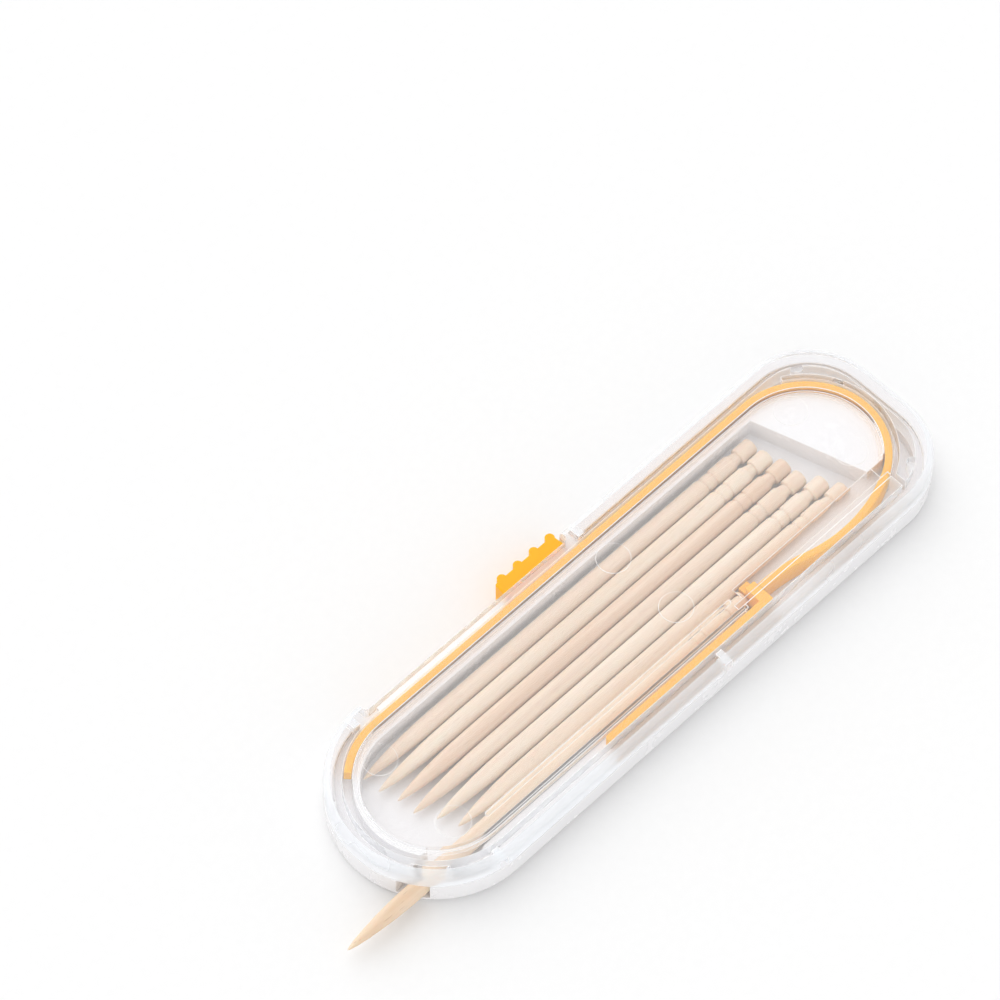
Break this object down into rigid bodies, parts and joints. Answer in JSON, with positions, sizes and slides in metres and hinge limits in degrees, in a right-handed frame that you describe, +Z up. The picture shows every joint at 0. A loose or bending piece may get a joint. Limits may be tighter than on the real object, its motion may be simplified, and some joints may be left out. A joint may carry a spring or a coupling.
{
  "type": "toothpick holder",
  "caption": "Flat pocket toothpick dispenser: white tray, clear clip-on cover and an orange knob that slides a wooden toothpick out of the round end.",
  "frame": {"origin": "middle of the flat underside of the tray, without the toothpick that stands out", "axes": "+X along the case towards its square end, +Y towards the knob, +Z up through the clear cover"},
  "size_m": [0.0978, 0.0277, 0.0067],
  "materials": {
    "white_plastic": "opaque white moulded plastic, satin gloss",
    "clear_plastic": "clear, slightly hazy moulded polystyrene, glossy",
    "orange_plastic": "translucent orange polypropylene, satin",
    "pale_wood": "bare pale birch, fine straight grain, turned head"
  },
  "bodies": {
    "case": {"tray": "white_plastic", "band": "orange_plastic", "band_bow": "orange_plastic", "toothpick_1": "pale_wood", "toothpick_2": "pale_wood", "toothpick_3": "pale_wood", "toothpick_4": "pale_wood", "toothpick_5": "pale_wood", "toothpick_6": "pale_wood"},
    "cover": {"cover": "clear_plastic"},
    "slider": {"slider": "orange_plastic"},
    "pusher": {"pusher": "orange_plastic"},
    "tail": {"band_tail": "orange_plastic"},
    "pick": {"toothpick_out": "pale_wood"}
  },
  "joints": [
    {"name": "cover_lift", "type": "slide", "parent": "case", "child": "cover", "axis": [0, 0, 1], "range_m": [0, 0.015]},
    {"name": "slider_slide", "type": "slide", "parent": "case", "child": "slider", "axis": [1, 0, 0], "range_m": [-0.0217, 0]},
    {"name": "pusher_slide", "type": "slide", "parent": "case", "child": "pusher", "axis": [1, 0, 0], "range_m": [0, 0.0217], "deforming": ["band_bow"]},
    {"name": "tail_wrap", "type": "hinge", "parent": "case", "child": "tail", "pos_m": [-0.03155, 0, 0.0046], "axis": [0, 0, 1], "range_deg": [0, 121.3]},
    {"name": "pick_pull", "type": "slide", "parent": "pusher", "child": "pick", "axis": [-1, 0, 0], "range_m": [0, 0.058]}
  ],
  "couplings": [
    {"joint": "pusher_slide", "follows": "slider_slide", "ratio": -1},
    {"joint": "tail_wrap", "follows": "slider_slide", "rad_per_m": -97.561}
  ]
}
